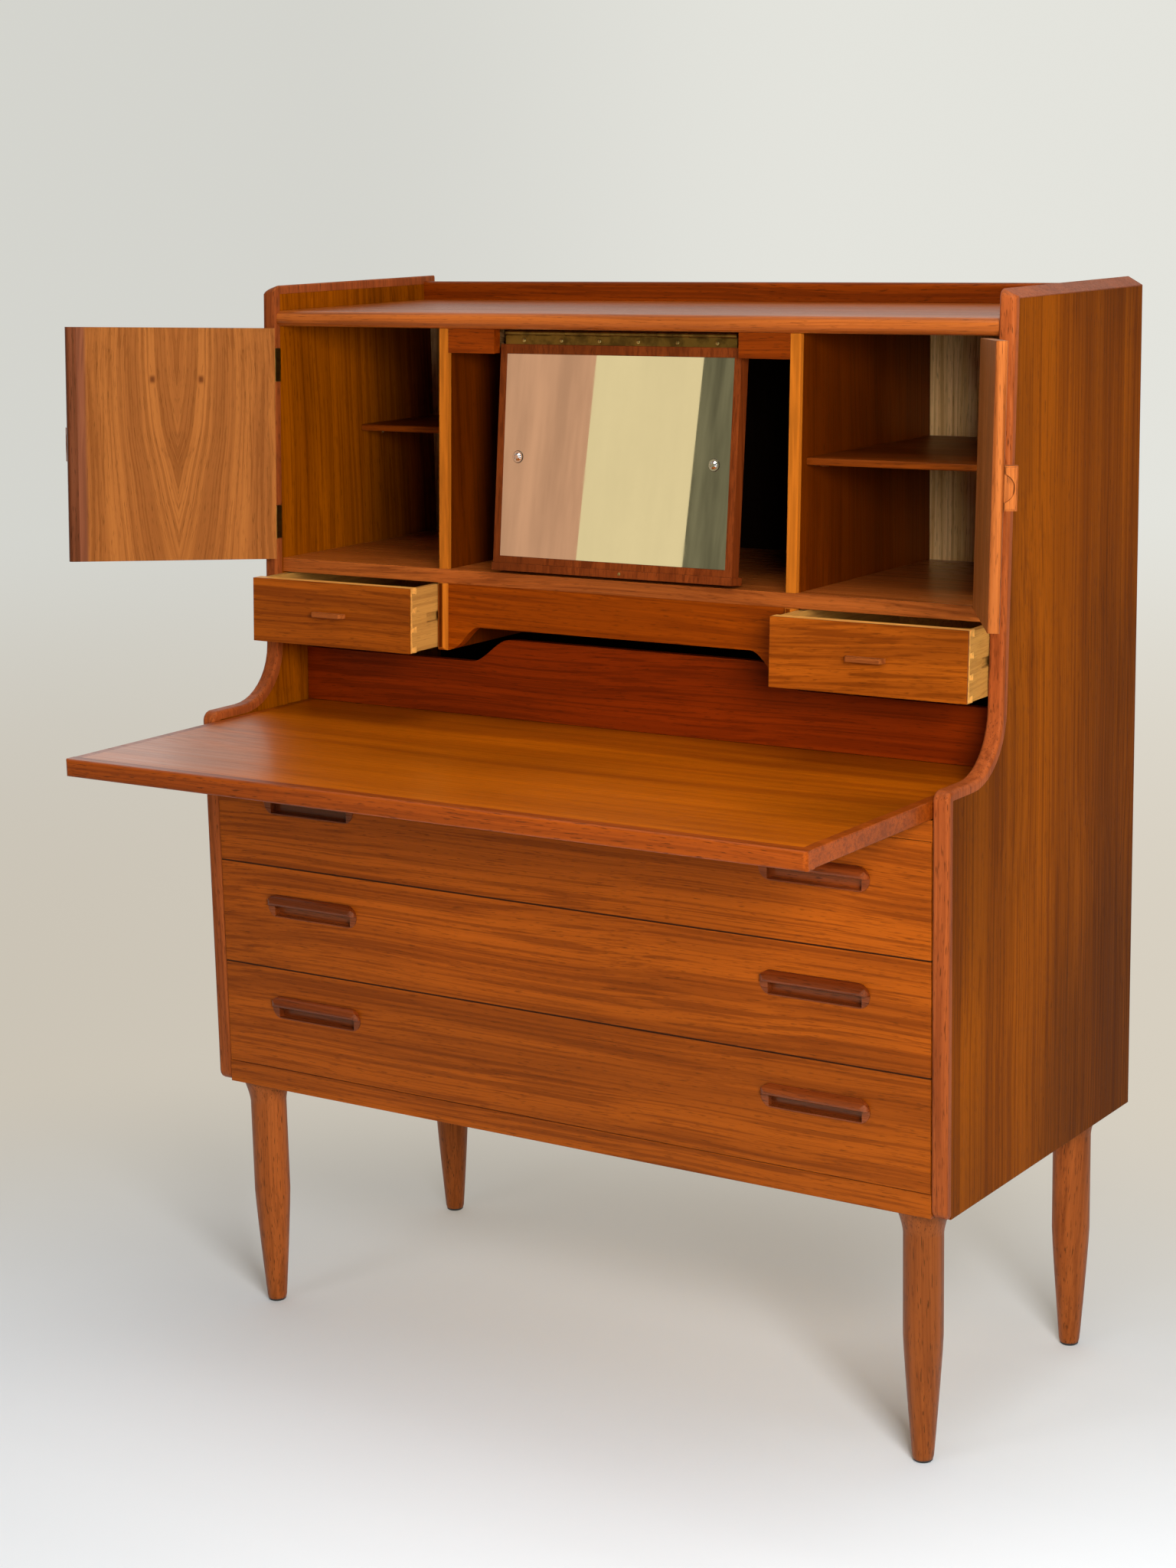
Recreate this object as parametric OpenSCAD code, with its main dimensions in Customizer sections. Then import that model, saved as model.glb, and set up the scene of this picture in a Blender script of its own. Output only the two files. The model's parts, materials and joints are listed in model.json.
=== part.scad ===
// Secretary desk in teak: a raked upper cabinet with two doors and a drop-down
// mirror, a sliding writing leaf, two small drawers and three wide drawers, on
// four turned legs. Millimetres, +Z up, +Y to the back, +X to the viewer's right.
// Working coordinates: X = 0 on the centre line, Y = 0 on the lower front, Z = 0
// on the floor. place() then moves the whole desk over its own footprint's centre.

/* [Case] */
// Width over the two side panels
case_w = 1000; // [960:5:1040]
// Depth of the side panels
case_d = 470; // [464:1:490]
// Thickness of each side panel
side_t = 19; // [18:0.5:20]
// Height of the side panels' top edge above the floor
case_top = 1252; // [1246:1:1262]
// Height of the case's underside above the floor
case_z0 = 292; // [280:1:296]
// Depth of the solid lipping along the side panels' edges
lip_d = 10.5; // [8:0.5:11]
// Drop of the outward bevel along the side panels' top edge
top_bevel = 9.5; // [6:0.5:9.5]

/* [Side profile] */
// Height of the shoulder where the lower front turns back
shoulder_z = 753; // [750:1:756]
// Radius of the shoulder's front corner
shoulder_r = 12; // [11:0.5:14]
// Set-back of the upper cabinet's foot from the lower front
step_y = 124; // [118:1:126]
// Radius of the hollow curve between shoulder and upper cabinet
step_r = 67; // [60:1:68]
// Backward lean of the upper front in degrees
rake = 3; // [2.5:0.1:3.5]

/* [Upper cabinet] */
// Set-back of doors' seats, deck, apron and valances from the side fronts
inset = 12.5; // [12:0.5:14]
// Height of the top board's underside
top_z = 1203.3; // [1203:0.1:1206]
// Thickness of the top board
top_t = 18.7; // [18:0.1:19]
// Height of the deck's upper face, the compartments' floor
deck_z = 923; // [921:1:923]
// Thickness of the deck
deck_t = 16.5; // [16:0.5:16.5]
// Half width of the open centre bay
bay_x = 229.5; // [226:0.5:234]
// Thickness of partitions and dividers
part_t = 13; // [12:0.5:14]
// Half width of the mirror's slot between the valances
slot_x = 164; // [163.5:0.5:168]
// Depth of the left compartment's shelf
shelf_left_d = 149; // [140:1:160]
// Depth of the right compartment's shelf
shelf_right_d = 290; // [280:1:290]

/* [Doors] */
// Thickness of each door
door_t = 12; // [11:0.5:12]
// Angle at which the left door stands open
open_left = 131; // [90:1:150]
// Angle at which the right door stands open
open_right = 119.5; // [90:0.5:150]

/* [Mirror] */
// Forward lean of the hanging mirror in degrees
mirror_lean = 6.4; // [5:0.1:7]
// Length from hinge axis to the foot of the front strip
mirror_len = 274; // [268:1:274]
// Thickness of the mirror's board
mirror_t = 15; // [12:0.5:16]

/* [Writing leaf] */
// Height of the writing surface
leaf_z = 742; // [740:1:744]
// Thickness of the leaf
leaf_t = 20; // [18:0.5:20]
// How far the leaf stands out in front of the case
leaf_out = 257; // [0:1:257]
// Distance of the riser's face behind the lower front, leaf out
riser_y = 178; // [170:1:185]

/* [Drawers] */
// How far the small drawers stand open
small_out = 58; // [0:1:150]
// Height of the small drawers' lower edge
small_z = 829.5; // [829:0.5:832]
// Height of each wide drawer front
wide_h = 126.2; // [124:0.1:126.2]
// Height of the lowest wide drawer front's lower edge
wide_z = 319.4; // [319:0.1:321]
// Depth of the wide drawer boxes behind their fronts
wide_d = 410; // [380:5:420]

/* [Legs] */
// Distance of each leg's axis from the centre line
leg_x = 454; // [450:1:458]
// Distance of the front legs' axes behind the lower front
leg_y = 37.4; // [36:0.2:44]
// Radius of the legs above their taper
leg_r = 22; // [20:0.2:24]

/* [Hidden] */
$fn = 48;

// Clearances: between fixed and moving pieces, and radially round a hinge pin
gap = 0.3;
pin_play = 0.05;

// Shared planes of the case
inner_x = case_w / 2 - side_t;
back_y = case_d - 12.5;
back_t = 5.5;
rail_t = 19.5;
rail_y = 1.5;
leaf_under = leaf_z - leaf_t;
drawer_pitch = (leaf_under - 23 - wide_z) / 3;

// Upper front line: it starts where the hollow curve ends, square to the rake
arc_c = [step_y - step_r, shoulder_z + step_r];
rake_foot = arc_c + step_r * [cos(rake), -sin(rake)];
top_r = lip_d;
top_c_z = case_top - top_r;

// Door layout, in the raked front's own coordinates
hinge_x = inner_x - 1;
hinge_y = -3;
door_edge_x = inner_x - 2;
door_free_x = bay_x + 0.3;
door_z0 = (deck_z + 1.5 - rake_foot[1]) / cos(rake);
door_z1 = (top_z - 1.5 - rake_foot[1]) / cos(rake);
door_lip = 12;
hinge_len = 40;
hinge_inset = 44;
knuckle_r = 2.6;
pin_r = 1.2;
pull_h = 43;
pull_proud = 13;
pull_w = 20;

// Mirror layout: its hinge axis, then distances down from it and back from it
axis_y = 169;
axis_z = top_z - 4.3;
panel_x = slot_x - 2;
hinge_half = slot_x - 8.5;
strip_t = 9;
strip_d = 22;
carriage_d = 17.5;
cap_half = 132.5;
cap_down = 142;

// Small drawer layout
small_x0 = bay_x + part_t + 0.8;
small_x1 = inner_x - 0.8;
small_h = deck_z - deck_t - 0.5 - small_z;
small_t = 14.5;
small_side = 9.5;
small_depth = 290;
groove_h = 11;
groove_z = small_z + 38;

// Writing leaf layout
leaf_x = inner_x - 0.7;
leaf_back = riser_y + 17;
leaf_lip_front = 16;
leaf_lip_side = 12;
cleat_x = 440;

// Pull layout on the wide drawers
recess_w = 134;
recess_h = 28;
recess_x = 342;
recess_up = 78;

// Shelves and the pins they rest on
shelf_left_z = 1065;
shelf_right_z = 1061;
shelf_t = 8;
shelf_pin_r = 2.5;
shelf_left_pins = [340, 440];
shelf_right_pins = [200, 440];

// Footprint centre of the desk as it stands open
function door_reach(a) = hinge_x - (hinge_x - door_free_x) * cos(a) + (pull_proud + hinge_y) * sin(a);
origin_x = (door_reach(open_left) - door_reach(open_right)) / 2;
origin_y = (case_d - leaf_out) / 2;

module place() { translate([origin_x, -origin_y, 0]) children(); }

// ---- Helpers ----

// Points on an arc round c from angle a0 to a1 in n steps
function arc(c, r, a0, a1, n) =
  [for (i = [0 : n]) c + r * [cos(a0 + (a1 - a0) * i / n), sin(a0 + (a1 - a0) * i / n)]];

// An S-shaped run of n steps from point a to point b, level at both ends
function ogee(a, b, n) =
  [for (i = [0 : n]) [a[0] + (b[0] - a[0]) * i / n, a[1] + (b[1] - a[1]) * (1 - cos(180 * i / n)) / 2]];

function flip(points) = [for (i = [len(points) - 1 : -1 : 0]) [-points[i][0], points[i][1]]];

// Y of the raked front at height z, a given depth behind it
function front_y(z, depth) =
  rake_foot[0] + (z - rake_foot[1]) * tan(rake) + depth / cos(rake);

module block(x0, x1, y0, y1, z0, z1) {
  translate([x0, y0, z0]) cube([x1 - x0, y1 - y0, z1 - z0]);
}

// A Y-Z outline extruded along X
module yz_plate(x0, x1, points) {
  translate([x0, 0, 0]) rotate([90, 0, 90]) linear_extrude(x1 - x0) polygon(points);
}

// An X-Z outline extruded along Y
module xz_plate(y0, y1, points) {
  translate([0, y1, 0]) rotate([90, 0, 0]) linear_extrude(y1 - y0) polygon(points);
}

// A bar along X with rounded long edges at the front
function round_front(y0, y1, z0, z1, r) = concat(
  [[y1, z0]],
  arc([y0 + r, z0 + r], r, 270, 180, 5),
  arc([y0 + r, z1 - r], r, 180, 90, 5),
  [[y1, z1]]);

module rod_x(x0, x1, y, z, r) {
  translate([x0, y, z]) rotate([0, 90, 0]) cylinder(r = r, h = x1 - x0);
}

// Frame of the raked front: X along it, Y into the case, Z up the slope
module raked() {
  translate([0, rake_foot[0], rake_foot[1]]) rotate([-rake, 0, 0]) children();
}

module both_sides() {
  children();
  mirror([1, 0, 0]) children();
}

// ---- Side panels ----

// Edge line of a side panel, moved inwards by o, from its foot to its top back
function side_path(o) = concat(
  arc([lip_d, case_z0 + lip_d], max(lip_d - o, 0.3), 270, 180, 4),
  arc([shoulder_r, shoulder_z - shoulder_r], max(shoulder_r - o, 0.3), 180, 90, 6),
  arc(arc_c, step_r + o, 270, 360 - rake, 10),
  arc([front_y(top_c_z, top_r), top_c_z], max(top_r - o, 0.3), 180 - rake, 90, 5),
  [[case_d, case_top - max(o, 0)]]);

// Holes for shelf pins through the faces at x0 and x1
module pin_holes(x0, x1, rows, z) {
  for (y = rows) rod_x(x0, x1, y, z - shelf_pin_r, shelf_pin_r + 0.05);
}

module side_body(rows, z) {
  difference() {
    yz_plate(inner_x, case_w / 2, concat([[case_d, case_z0], [lip_d, case_z0]], side_path(lip_d)));
    block(inner_x - 1, inner_x + 9, back_y, case_d + 1, case_z0 - 1, top_z + top_t);
    pin_holes(inner_x - 1, inner_x + 8, rows, z);
  }
}

module side_left() {
  color("#a4611f") place() mirror([1, 0, 0]) side_body(shelf_left_pins, shelf_left_z);
}

module side_right() { color("#a4611f") place() side_body(shelf_right_pins, shelf_right_z); }

// Lipping section as [across, inwards], once for the front and once for the top
edge_r = 4.5;
front_section = concat(
  arc([edge_r, edge_r], edge_r, 180, 270, 4),
  arc([side_t - edge_r, edge_r], edge_r, 270, 360, 4),
  [[side_t, lip_d], [0, lip_d]]);
top_section = concat(
  arc([2, 2], 2, 180, 270, 4),
  [for (t = [0.3, 0.5, 0.7, 0.9, 1]) [2 + (side_t - 2) * t, top_bevel * t]],
  [[side_t, lip_d], [0, lip_d]]);

module lipping_strip() {
  m = len(front_section);
  n = len(side_path(0));
  corner0 = n - 7;
  turn = [for (i = [0 : n - 1]) min(max((i - corner0) / 5, 0), 1)];
  points = [for (i = [0 : n - 1]) for (j = [0 : m - 1])
    let (s = front_section[j] * (1 - turn[i]) + top_section[j] * turn[i],
         p = side_path(s[1])[i])
    [inner_x + s[0], p[0], p[1]]];
  faces = concat(
    [[for (j = [0 : m - 1]) j]],
    [[for (j = [m - 1 : -1 : 0]) (n - 1) * m + j]],
    [for (i = [0 : n - 2]) for (j = [0 : m - 1])
      each [[i * m + j, (i + 1) * m + j, i * m + (j + 1) % m],
            [(i + 1) * m + j, (i + 1) * m + (j + 1) % m, i * m + (j + 1) % m]]]);
  polyhedron(points, faces);
}

module side_lippings() { color("#8c3f1e") place() both_sides() lipping_strip(); }

// ---- Carcass ----

module top_board() {
  r = top_t / 2;
  y = front_y(top_z + r, inset);
  color("#9c4f22") place() {
    yz_plate(-inner_x, inner_x, concat(
      arc([y, top_z + r], r, 270, 90, 12),
      [[back_y, top_z + top_t], [back_y, top_z]]));
  }
}

module gallery_rail() {
  z0 = top_z + top_t;
  y0 = back_y - 11.5;
  color("#86401f") place() {
    yz_plate(-inner_x, inner_x, concat(
      [[back_y, z0], [y0, z0]],
      arc([y0 + 4, case_top - 11], 4, 180, 90, 4),
      arc([back_y - 2, case_top - 9], 2, 90, 0, 3)));
  }
}

module back_panel() {
  color("#b98a52") place() block(-inner_x - 8.5, inner_x + 8.5, back_y, back_y + back_t, case_z0 + 2, top_z + top_t - 1);
}

module deck() {
  z0 = deck_z - deck_t;
  color("#a8581f") place() {
    yz_plate(-inner_x, inner_x, [
      [front_y(z0, inset), z0], [back_y, z0], [back_y, deck_z], [front_y(deck_z, inset), deck_z]]);
  }
}

module partition(rows, z) {
  difference() {
    yz_plate(bay_x, bay_x + part_t, [
      [front_y(deck_z, inset), deck_z], [back_y, deck_z],
      [back_y, top_z], [front_y(top_z, inset), top_z]]);
    pin_holes(bay_x + part_t - 8, bay_x + part_t + 1, rows, z);
  }
}

module partitions() {
  color("#a35a20") place() {
    mirror([1, 0, 0]) partition(shelf_left_pins, shelf_left_z);
    partition(shelf_right_pins, shelf_right_z);
  }
}

module valances() {
  z0 = top_z - 28;
  color("#93451f") place() both_sides() yz_plate(slot_x, bay_x, [
    [front_y(z0, inset), z0], [front_y(z0, inset + 12), z0],
    [front_y(top_z, inset + 12), top_z], [front_y(top_z, inset), top_z]]);
}

module mirror_runners() {
  color("#6d3a1c") place() both_sides() difference() {
    block(slot_x, slot_x + 16, 176, back_y, axis_z - 18, top_z);
    block(slot_x - 1, slot_x + 6, 175, back_y - 1.5, axis_z - 12, axis_z - 6);
  }
}

module dividers() {
  z0 = small_z - 2.5;
  z1 = deck_z - deck_t;
  r = part_t / 2;
  color("#a8602a") place() both_sides() union() {
    yz_plate(bay_x, bay_x + part_t, [
      [front_y(z0, inset), z0], [back_y, z0], [back_y, z1], [front_y(z1, inset), z1]]);
    intersection() {
      raked() translate([bay_x + r, inset, -50]) cylinder(r = r, h = 300);
      yz_plate(bay_x, bay_x + part_t, concat(
        [[front_y(z1, inset), z1]],
        [[front_y(z1, 0), z1]],
        arc([front_y(z0 + 6, 12), z0 + 6], 6, 180, 270, 5),
        [[front_y(z0, inset), z0]]));
    }
  }
}

module apron() {
  apron_t = 14;
  z1 = deck_z - deck_t;
  foot = small_z - 1;
  rise = small_z + 27;
  right = ogee([185, rise], [226, foot], 12);
  color("#a1501f") place() intersection() {
    xz_plate(front_y(foot, 0), front_y(z1, inset + 20), concat(
      [[-bay_x, z1], [-bay_x, foot]],
      flip(right),
      right,
      [[bay_x, foot], [bay_x, z1]]));
    yz_plate(-bay_x, bay_x, [
      [front_y(foot, inset + 0.5), foot], [front_y(foot, inset + apron_t), foot],
      [front_y(z1, inset + apron_t), z1], [front_y(z1, inset + 0.5), z1]]);
  }
}

module drawer_runners() {
  small_y = front_y(groove_z, inset) + 36;
  color("#7a4a24") place() both_sides() {
    block(inner_x - 5.5, inner_x, small_y, back_y - 4, groove_z - 5.2, groove_z + 5.2);
    block(bay_x + part_t, bay_x + part_t + 5.5, small_y, back_y - 4, groove_z - 5.2, groove_z + 5.2);
    for (i = [0 : 2]) {
      z = wide_z + i * drawer_pitch + 60;
      block(inner_x - 7, inner_x, 30, back_y - 4, z - 7.8, z + 7.8);
    }
  }
}

module front_rails() {
  color("#8f4a20") place() {
    block(-inner_x, inner_x, rail_y, rail_y + rail_t, case_z0, wide_z - 0.8);
    block(-inner_x, inner_x, rail_y, rail_y + rail_t, leaf_under - 22.6, leaf_under - 0.4);
  }
}

module leaf_bearers() {
  color("#7a4a24") place() both_sides() difference() {
    block(inner_x - 19, inner_x, rail_y + rail_t, back_y, leaf_under - 22.6, leaf_under - 0.4);
    block(inner_x - 20, inner_x - 12, rail_y + rail_t - 1, back_y - 2, leaf_under - 16, leaf_under - 8);
  }
}

module leg_axes() {
  for (x = [-leg_x, leg_x], y = [leg_y, case_d - leg_y - 18]) translate([x, y, 0]) children();
}

module bottom_panel() {
  color("#8a5a30") place() difference() {
    block(-inner_x, inner_x, rail_y + rail_t, back_y, case_z0, case_z0 + 18);
    leg_axes() translate([0, 0, case_z0 - 1]) cylinder(r = leg_bore_r, h = 20);
  }
}

// A shelf with a softened front edge resting on its pins
module shelf(depth, z) {
  y1 = back_y - 2.5;
  yz_plate(bay_x + part_t + 0.6, inner_x - 0.6, round_front(y1 - depth, y1, z, z + shelf_t, 2));
}

module pins(rows, z) {
  for (y = rows) {
    rod_x(inner_x - 8, inner_x + 7.5, y, z - shelf_pin_r, shelf_pin_r);
    rod_x(bay_x + part_t - 7.5, bay_x + part_t + 8, y, z - shelf_pin_r, shelf_pin_r);
  }
}

module shelf_left() { color("#8f4f22") place() mirror([1, 0, 0]) shelf(shelf_left_d, shelf_left_z); }

module shelf_right() { color("#8f4f22") place() shelf(shelf_right_d, shelf_right_z); }

module shelf_pins() {
  color("#b9bcc0") place() {
    mirror([1, 0, 0]) pins(shelf_left_pins, shelf_left_z);
    pins(shelf_right_pins, shelf_right_z);
  }
}

// ---- Legs ----

taper_z = 146;
foot_r = 11.6;
flare_h = 30;
leg_bore_r = 4.05;

module leg(x, y) {
  taper = [for (i = [1 : 8]) [leg_r - (leg_r - foot_r) * pow(1 - i / 8, 1.15), taper_z * i / 8]];
  flare = [for (i = [0 : 6]) [leg_r + 8 * pow(i / 6, 1.4), case_z0 - flare_h * (1 - i / 6)]];
  translate([x, y, 0]) difference() {
    rotate_extrude($fn = 64) polygon(concat([[0, 3], [11.2, 3], [12.1, 7]], taper, flare, [[0, case_z0]]));
    translate([0, 0, case_z0 - 42]) cylinder(r = leg_bore_r, h = 43);
    translate([0, 0, 2]) cylinder(r = 1.55, h = 14);
  }
}

module leg_front_left() { color("#8f4c22") place() leg(-leg_x, leg_y); }
module leg_front_right() { color("#8f4c22") place() leg(leg_x, leg_y); }
module leg_back_left() { color("#8f4c22") place() leg(-leg_x, case_d - leg_y - 18); }
module leg_back_right() { color("#8f4c22") place() leg(leg_x, case_d - leg_y - 18); }

module leg_bolts() {
  color("#9a9da1") place() leg_axes() translate([0, 0, case_z0 - 40]) cylinder(r = 4, h = 56);
}

module glides() {
  color("#1c1b1a") place() leg_axes() {
    cylinder(r1 = 9.6, r2 = 10.8, h = 1.2);
    translate([0, 0, 1.2]) cylinder(r = 10.8, h = 1.8);
    translate([0, 0, 2]) cylinder(r = 1.5, h = 12);
  }
}

// ---- Doors ----

// Places a door, drawn shut in the raked frame on the right, at its open angle
module on_right_hinge(angle) {
  raked() translate([hinge_x, hinge_y, 0]) rotate([0, 0, angle]) translate([-hinge_x, -hinge_y, 0]) children();
}

module door_place(side) {
  if (side > 0) on_right_hinge(open_right) children();
  if (side < 0) mirror([1, 0, 0]) on_right_hinge(open_left) children();
}

module door_panel() {
  block(door_free_x + door_lip, door_edge_x, 0, door_t, door_z0, door_z1);
}

module door_lipping() {
  r = 3.5;
  translate([0, 0, door_z0]) linear_extrude(door_z1 - door_z0) polygon(concat(
    [[door_free_x + door_lip, 0]],
    [[door_free_x + door_lip, door_t]],
    arc([door_free_x + r, door_t - r], r, 90, 180, 4),
    arc([door_free_x + r, r], r, 180, 270, 4)));
}

module door_pull() {
  z = (door_z0 + door_z1) / 2;
  difference() {
    union() {
      block(door_free_x + 1.5, door_free_x + pull_w, -pull_proud, 0, z - pull_h / 2, z + pull_h / 2);
      block(door_free_x, door_free_x + 2, -pull_proud + 1.5, -0.6, z - pull_h / 2 + 1.5, z + pull_h / 2 - 1.5);
    }
    rod_x(door_free_x - 1, door_free_x + 3.2, 4.5, z, 14.5);
  }
}

// Hinge positions up the door, measured to the hinge's lower end
hinge_levels = [door_z0 + hinge_inset - hinge_len / 2, door_z1 - hinge_inset - hinge_len / 2];
third = hinge_len / 3;

module knuckle(z0, z1) {
  difference() {
    translate([hinge_x, hinge_y, z0]) cylinder(r = knuckle_r, h = z1 - z0);
    translate([hinge_x, hinge_y, z0 - 1]) cylinder(r = pin_r + pin_play, h = z1 - z0 + 2);
  }
}

module door_hinge_leaves() {
  for (z = hinge_levels) {
    difference() {
      block(door_edge_x, door_edge_x + 0.8, hinge_y, 10, z + third + gap, z + 2 * third - gap);
      translate([hinge_x, hinge_y, z]) cylinder(r = pin_r + pin_play, h = hinge_len);
    }
    block(door_edge_x, door_edge_x + 0.8, 2, 10, z, z + hinge_len);
    knuckle(z + third + gap, z + 2 * third - gap);
  }
}

module hinge_frame_leaf(z) {
  difference() {
    union() {
      block(inner_x - 0.8, inner_x, hinge_y, 10, z, z + third);
      block(inner_x - 0.8, inner_x, hinge_y, 10, z + 2 * third, z + hinge_len);
      block(inner_x - 0.8, inner_x, 1, 10, z, z + hinge_len);
    }
    translate([hinge_x, hinge_y, z - 1]) cylinder(r = pin_r, h = hinge_len + 2);
  }
  for (k = [z, z + 2 * third]) translate([hinge_x, hinge_y, k]) cylinder(r = knuckle_r, h = third);
  translate([hinge_x, hinge_y, z]) cylinder(r = pin_r, h = hinge_len);
}

module door_hinge_frame_leaves() {
  color("#a88b4a") place() both_sides() raked() for (z = hinge_levels) hinge_frame_leaf(z);
}

module door_left_panel() { color("#b5682c") place() door_place(-1) door_panel(); }
module door_left_lipping() { color("#8c3f1e") place() door_place(-1) door_lipping(); }
module door_left_pull() { color("#a8552a") place() door_place(-1) door_pull(); }
module door_left_hinge_leaves() { color("#a88b4a") place() door_place(-1) door_hinge_leaves(); }
module door_right_panel() { color("#b5682c") place() door_place(1) door_panel(); }
module door_right_lipping() { color("#8c3f1e") place() door_place(1) door_lipping(); }
module door_right_pull() { color("#a8552a") place() door_place(1) door_pull(); }
module door_right_hinge_leaves() { color("#a88b4a") place() door_place(1) door_hinge_leaves(); }

// ---- Mirror ----

// Frame of the mirror: X along the hinge, Y back into the board, -Z down it
module hanging() {
  translate([0, axis_y, axis_z]) rotate([-mirror_lean, 0, 0]) children();
}

hinge_segments = 15;
segment = 2 * hinge_half / hinge_segments;

// One knuckle of the piano hinge in every second place, with a tab to its leaf
module piano_knuckles(first, bore, tab_y0, tab_y1, tab_z0) {
  for (i = [first : 2 : hinge_segments - 1]) {
    x0 = -hinge_half + i * segment + gap / 2;
    x1 = x0 + segment - gap;
    difference() {
      union() {
        rod_x(x0, x1, 0, 0, knuckle_r);
        block(x0, x1, tab_y0, tab_y1, tab_z0, tab_z0 + 1.4);
      }
      rod_x(x0 - 1, x1 + 1, 0, 0, bore);
    }
  }
}

module mirror_carriage() {
  y0 = axis_y + 16.5;
  color("#8a4a22") place() {
    block(-slot_x + 0.6, slot_x - 0.6, y0, y0 + carriage_d, axis_z - 16.6, axis_z - 3.1);
    both_sides() block(slot_x - 2, slot_x + 5.5, y0, y0 + carriage_d, axis_z - 11.7, axis_z - 6.3);
  }
}

module mirror_hinge_carriage_leaf() {
  color("#8f7d45") place() translate([0, axis_y, axis_z]) {
    block(-hinge_half, hinge_half, 3.2, 16.5 + carriage_d - 1, -3.1, -1.9);
    piano_knuckles(0, pin_r, 1, 3.4, -3.1);
    rod_x(-hinge_half, hinge_half, 0, 0, pin_r);
  }
}

module mirror_hinge_leaf() {
  color("#8f7d45") place() hanging() {
    block(-hinge_half, hinge_half, 0, 1, -13, -3.4);
    piano_knuckles(1, pin_r + pin_play, 0, 1, -3.5);
  }
}

// The mirror's board: a full-width panel with a narrower cleat under the hinge
module mirror_board() {
  low = -(mirror_len - strip_t);
  color("#7a3c22") place() hanging() difference() {
    union() {
      block(-hinge_half, hinge_half, 1, mirror_t, -14, -4.2);
      block(-panel_x, panel_x, 0, mirror_t, low, -13.2);
    }
    block(-panel_x + 9, panel_x - 9, -1, 3.4, low + 8, -24);
    for (x = [-cap_half, cap_half]) translate([x, -1, -cap_down]) rotate([-90, 0, 0]) cylinder(r = 1.6, h = 12);
  }
}

module mirror_glass() {
  low = -(mirror_len - strip_t);
  color("#cfd2cc") place() hanging() difference() {
    block(-panel_x + 9.2, panel_x - 9.2, 0.4, 3.4, low + 8.2, -24.2);
    for (x = [-cap_half, cap_half]) translate([x, -1, -cap_down]) rotate([-90, 0, 0]) cylinder(r = 2.2, h = 12);
  }
}

module mirror_strip() {
  color("#70341d") place() hanging() {
    block(-slot_x + 1, slot_x - 1, -1, strip_d - 1, -mirror_len, -(mirror_len - strip_t));
  }
}

// Two domed caps on screws that hold the glass
module mirror_screws() {
  color("#d0d0d0") place() hanging() for (x = [-cap_half, cap_half]) {
    translate([x, 0, -cap_down]) rotate([-90, 0, 0]) {
      translate([0, 0, -0.6]) cylinder(r = 6.6, h = 0.95);
      mirror([0, 0, 1]) cylinder(r1 = 5.2, r2 = 2.4, h = 2.6);
      cylinder(r = 1.5, h = 11);
    }
  }
}

// ---- Writing leaf ----

module leaf_plan() {
  r = 5;
  translate([0, 0, leaf_under - 1]) linear_extrude(leaf_t + 2) union() {
    translate([-leaf_x, -leaf_out + r]) square([2 * leaf_x, leaf_back + leaf_out - r]);
    translate([-leaf_x + r, -leaf_out]) square([2 * (leaf_x - r), 2 * r]);
    for (x = [-leaf_x + r, leaf_x - r]) translate([x, -leaf_out + r]) circle(r = r);
  }
}

module leaf_board() {
  color("#b0641f") place() block(
    -leaf_x + leaf_lip_side, leaf_x - leaf_lip_side,
    -leaf_out + leaf_lip_front, leaf_back, leaf_under, leaf_z);
}

module leaf_lipping() {
  y1 = -leaf_out + leaf_lip_front;
  color("#8a431d") place() intersection() {
    leaf_plan();
    union() {
      yz_plate(-leaf_x, leaf_x, concat(
        [[y1, leaf_under]],
        arc([-leaf_out + 2, leaf_under + 2], 2, 270, 180, 3),
        arc([-leaf_out + 4, leaf_z - 4], 4, 180, 90, 5),
        [[y1, leaf_z]]));
      both_sides() xz_plate(y1 - 1, leaf_back, concat(
        [[leaf_x - leaf_lip_side, leaf_under]],
        arc([leaf_x - 2.5, leaf_under + 2.5], 2.5, 270, 360, 4),
        arc([leaf_x - 1.5, leaf_z - 1.5], 1.5, 0, 90, 3),
        [[leaf_x - leaf_lip_side, leaf_z]]));
    }
  }
}

module leaf_riser() {
  right = ogee([170, 95], [228, 65.5], 12);
  wide = leaf_x - 0.5;
  color("#7d3519") place() translate([0, riser_y, leaf_z]) rotate([-2.2, 0, 0]) {
    xz_plate(0, 12, concat(
      [[-wide, 0.48], [-wide, 65.5]],
      flip(right),
      right,
      [[wide, 65.5], [wide, 0.48]]));
  }
}

module leaf_cleats() {
  color("#7a4a24") place() both_sides() {
    block(cleat_x, inner_x - 19.6, 30, leaf_back - 5, leaf_under - 20, leaf_under);
    block(cleat_x + 4, inner_x - 12.6, 30, leaf_back - 5, leaf_under - 15.4, leaf_under - 8.6);
  }
}

// ---- Small drawers ----

// Y of the small drawer front's face at height z, a given depth behind it
function small_y(z, depth) = front_y(z, inset + depth) - small_out;

tail_edge = 8.5;
tail_slope = 1.6;
tail_centres = [small_z + small_h * 0.2, small_z + small_h * 0.5, small_z + small_h * 0.8];

// The three tails of one drawer side, lodged in the front
module tails(x0, x1, grow) {
  for (z = tail_centres) {
    yz_plate(x0, x1, [
      [small_y(z, small_t - tail_edge), z - 9 - grow],
      [small_y(z, small_t) + 0.6, z - 9 + tail_slope - grow],
      [small_y(z, small_t) + 0.6, z + 9 - tail_slope + grow],
      [small_y(z, small_t - tail_edge), z + 9 + grow]]);
  }
}

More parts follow.
